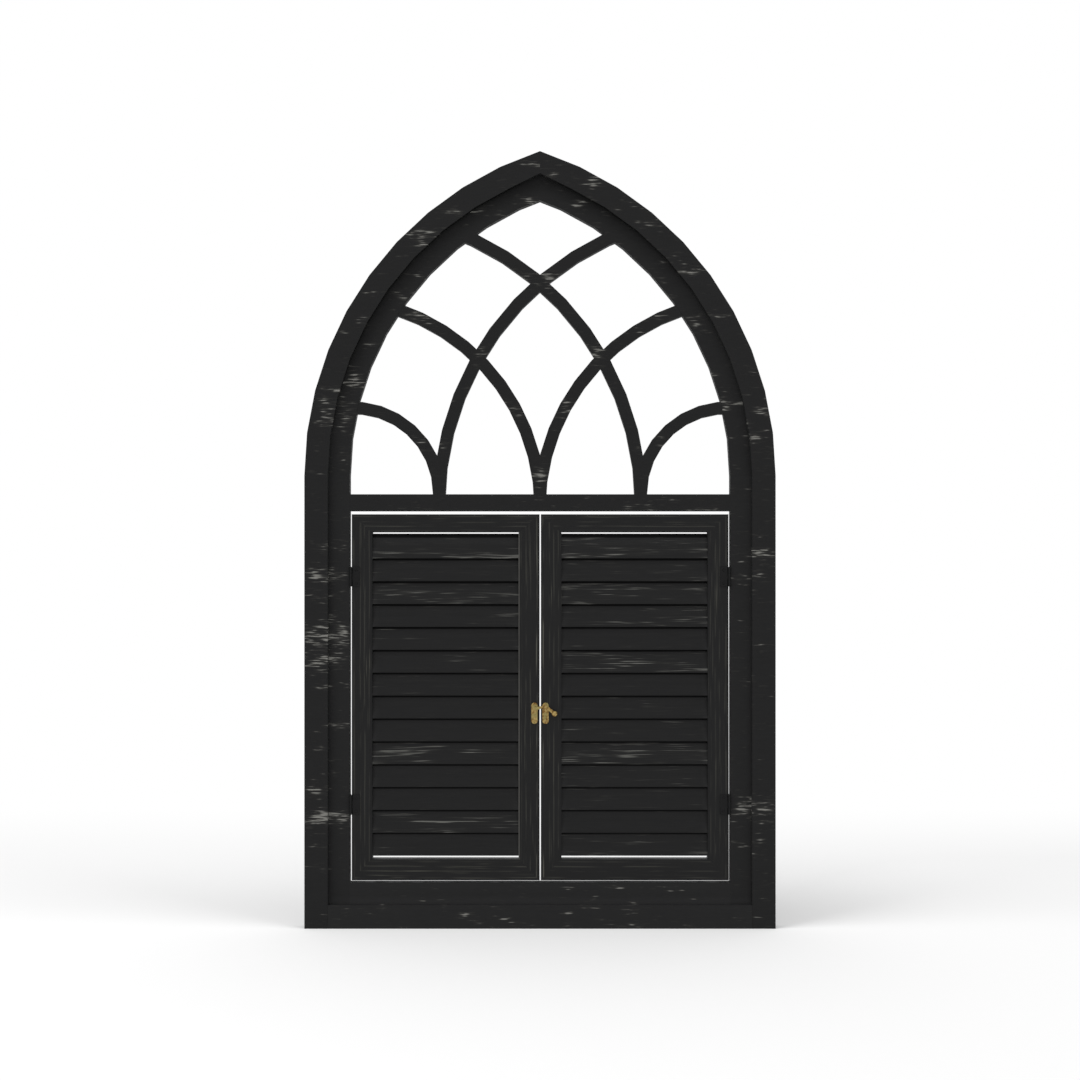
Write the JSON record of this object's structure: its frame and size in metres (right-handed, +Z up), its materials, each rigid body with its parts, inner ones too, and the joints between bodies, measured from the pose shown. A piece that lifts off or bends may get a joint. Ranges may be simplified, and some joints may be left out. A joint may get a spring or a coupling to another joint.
{
  "type": "pointed arch window frame with tracery and louvred shutters",
  "caption": "Wall-hung pointed window frame in distressed black wood: arched head with crossing tracery bars over a pair of hinged louvred shutter leaves held by a brass hook latch.",
  "frame": {"origin": "on the wall plane, in the middle of the bottom rail's back face", "axes": "+X to the right as seen from the front, +Y into the wall, +Z up"},
  "size_m": [0.61, 0.023, 1.0065],
  "materials": {
    "frame_wood": "black painted, rubbed through in thin scuffs, matt",
    "tracery_wood": "black painted, rubbed through in thin scuffs, matt",
    "leaf_wood": "black painted, fine streaks along the grain, worn arrises",
    "louvre_wood": "black painted, long streaks along each slat",
    "hinge_metal": "black, satin",
    "antique_brass": "mottled antique brass, dull"
  },
  "bodies": {
    "frame": {"bottom_casing": "frame_wood", "bottom_rail": "frame_wood", "left_arch_board": "frame_wood", "left_arch_casing": "frame_wood", "left_casing": "frame_wood", "left_jamb": "frame_wood", "left_lower_hinge_jamb_plate": "hinge_metal", "left_lower_hinge_pin": "hinge_metal", "left_upper_hinge_jamb_plate": "hinge_metal", "left_upper_hinge_pin": "hinge_metal", "right_arch_board": "frame_wood", "right_arch_casing": "frame_wood", "right_casing": "frame_wood", "right_jamb": "frame_wood", "right_lower_hinge_jamb_plate": "hinge_metal", "right_lower_hinge_pin": "hinge_metal", "right_upper_hinge_jamb_plate": "hinge_metal", "right_upper_hinge_pin": "hinge_metal", "tracery": "tracery_wood", "transom": "frame_wood"},
    "left_leaf": {"keeper_plate": "antique_brass", "keeper_stud": "antique_brass", "left_hinge_stile": "leaf_wood", "left_leaf_bottom_rail": "leaf_wood", "left_leaf_top_rail": "leaf_wood", "left_louvres": "louvre_wood", "left_lower_hinge_stile_plate": "hinge_metal", "left_meeting_stile": "leaf_wood", "left_upper_hinge_stile_plate": "hinge_metal"},
    "right_leaf": {"latch_plate": "antique_brass", "latch_rivet": "antique_brass", "right_hinge_stile": "leaf_wood", "right_leaf_bottom_rail": "leaf_wood", "right_leaf_top_rail": "leaf_wood", "right_louvres": "louvre_wood", "right_lower_hinge_stile_plate": "hinge_metal", "right_meeting_stile": "leaf_wood", "right_upper_hinge_stile_plate": "hinge_metal"},
    "latch_hook_body": {"latch_hook": "antique_brass"}
  },
  "joints": [
    {"name": "right_leaf_hinge", "type": "hinge", "parent": "frame", "child": "right_leaf", "pos_m": [0.24575, -0.0166, 0.2701], "axis": [0, 0, 1], "range_deg": [0, 160]},
    {"name": "left_leaf_hinge", "type": "hinge", "parent": "frame", "child": "left_leaf", "pos_m": [-0.24575, -0.0166, 0.2701], "axis": [0, 0, -1], "range_deg": [0, 160]},
    {"name": "hook_pivot", "type": "hinge", "parent": "right_leaf", "child": "latch_hook_body", "pos_m": [0.0072, -0.0172, 0.2585], "axis": [0, -1, 0], "range_deg": [0, 70]}
  ],
  "couplings": [
    {"joint": "left_leaf_hinge", "follows": "right_leaf_hinge", "ratio": 1}
  ]
}
